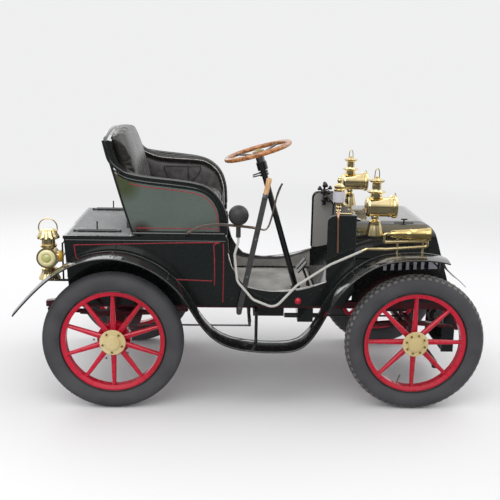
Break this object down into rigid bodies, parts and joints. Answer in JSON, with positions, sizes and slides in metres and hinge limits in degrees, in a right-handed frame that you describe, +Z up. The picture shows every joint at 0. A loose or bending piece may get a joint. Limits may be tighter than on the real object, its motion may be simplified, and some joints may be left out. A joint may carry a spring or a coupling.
{
  "type": "brass era two-seat car",
  "caption": "Open two-seat early motor car with wooden wheels, tub seat, swept mudguards, front bonnet and brass lamps; its wheels turn, steer and its bonnet opens.",
  "frame": {"origin": "on the ground, at the middle of the car's length and width", "axes": "+X forward, +Y to the car's left, +Z up"},
  "size_m": [2.562, 1.244, 1.5019],
  "materials": {
    "red_paint": "gloss",
    "black_paint": "gloss",
    "green_paint": "gloss",
    "body_paint": "gloss",
    "tyre_rubber": "matt",
    "brass": "polished",
    "steel": "satin",
    "cast_iron": "matt",
    "leather": "satin",
    "wood_rim": "varnished",
    "rubber": "satin",
    "lamp_glass": "clear"
  },
  "bodies": {
    "chassis": {"chassis_frame": "black_paint", "front_axle": "black_paint", "rear_axle": "black_paint", "springs": "red_paint", "engine_block": "cast_iron", "radiator": "black_paint", "body_tub": "body_paint", "rear_deck": "black_paint", "dash": "black_paint", "seat_tub": "body_paint", "seat_lining": "leather", "seat_cushion": "leather", "bonnet_sides": "green_paint", "mudguard_right": "black_paint", "mudguard_left": "black_paint", "steering_column": "black_paint", "hand_levers": "steel", "pedals": "steel", "lubricator": "brass", "lubricator_glass": "lamp_glass", "switch_box": "black_paint", "horn_bulb": "rubber", "horn_tube": "steel", "horn_trumpet": "brass", "horn_strap": "black_paint", "headlamp_right": "brass", "headlamp_left": "brass", "lamp_glass": "lamp_glass", "tail_lamp": "brass", "stays": "black_paint", "undertray": "steel", "brake_rods": "steel"},
    "bonnet": {"bonnet_lid": "green_paint"},
    "steering": {"steering_wheel": "wood_rim"},
    "knuckle_right": {"knuckle_right": "black_paint"},
    "knuckle_left": {"knuckle_left": "black_paint"},
    "tie_rod": {"tie_rod": "black_paint"},
    "drag_link": {"drag_link": "black_paint"},
    "wheel_rear_right": {"wheel_rear_right": "red_paint", "tyre_rear_right": "tyre_rubber", "hub_cap_rear_right": "brass"},
    "wheel_rear_left": {"wheel_rear_left": "red_paint", "tyre_rear_left": "tyre_rubber", "hub_cap_rear_left": "brass"},
    "wheel_front_right": {"wheel_front_right": "red_paint", "tyre_front_right": "tyre_rubber", "hub_cap_front_right": "brass"},
    "wheel_front_left": {"wheel_front_left": "red_paint", "tyre_front_left": "tyre_rubber", "hub_cap_front_left": "brass"}
  },
  "joints": [
    {"name": "steering_turn", "type": "hinge", "parent": "chassis", "child": "steering", "pos_m": [0.02925, -0.2, 1.385], "axis": [-0.284, 0, 0.9588], "range_deg": [-120, 120]},
    {"name": "knuckle_right_turn", "type": "hinge", "parent": "chassis", "child": "knuckle_right", "pos_m": [0.89625, -0.455, 0.3825], "axis": [0, 0, 1], "range_deg": [-24, 24]},
    {"name": "knuckle_left_turn", "type": "hinge", "parent": "chassis", "child": "knuckle_left", "pos_m": [0.89625, 0.455, 0.3825], "axis": [0, 0, 1], "range_deg": [-24, 24]},
    {"name": "tie_rod_swing", "type": "hinge", "parent": "knuckle_right", "child": "tie_rod", "pos_m": [1.04425, -0.455, 0.206], "axis": [0, 0, 1], "range_deg": [-24, 24]},
    {"name": "drag_link_slide", "type": "slide", "parent": "chassis", "child": "drag_link", "axis": [1, 0, 0], "range_m": [-0.0775, 0.0775]},
    {"name": "bonnet_open", "type": "hinge", "parent": "chassis", "child": "bonnet", "pos_m": [0.58025, 0, 1.013], "axis": [0, -1, 0], "range_deg": [0, 62]},
    {"name": "wheel_rear_right_spin", "type": "hinge", "parent": "chassis", "child": "wheel_rear_right", "pos_m": [-0.75375, -0.54, 0.3825], "axis": [0, 1, 0], "continuous": true},
    {"name": "wheel_rear_left_spin", "type": "hinge", "parent": "chassis", "child": "wheel_rear_left", "pos_m": [-0.75375, 0.54, 0.3825], "axis": [0, 1, 0], "continuous": true},
    {"name": "wheel_front_right_spin", "type": "hinge", "parent": "knuckle_right", "child": "wheel_front_right", "pos_m": [0.89625, -0.54, 0.3825], "axis": [0, 1, 0], "continuous": true},
    {"name": "wheel_front_left_spin", "type": "hinge", "parent": "knuckle_left", "child": "wheel_front_left", "pos_m": [0.89625, 0.54, 0.3825], "axis": [0, 1, 0], "continuous": true}
  ],
  "couplings": [
    {"joint": "knuckle_right_turn", "follows": "steering_turn", "ratio": 0.2},
    {"joint": "knuckle_left_turn", "follows": "steering_turn", "ratio": 0.2},
    {"joint": "tie_rod_swing", "follows": "steering_turn", "ratio": -0.2},
    {"joint": "drag_link_slide", "follows": "steering_turn", "m_per_rad": -0.037}
  ]
}
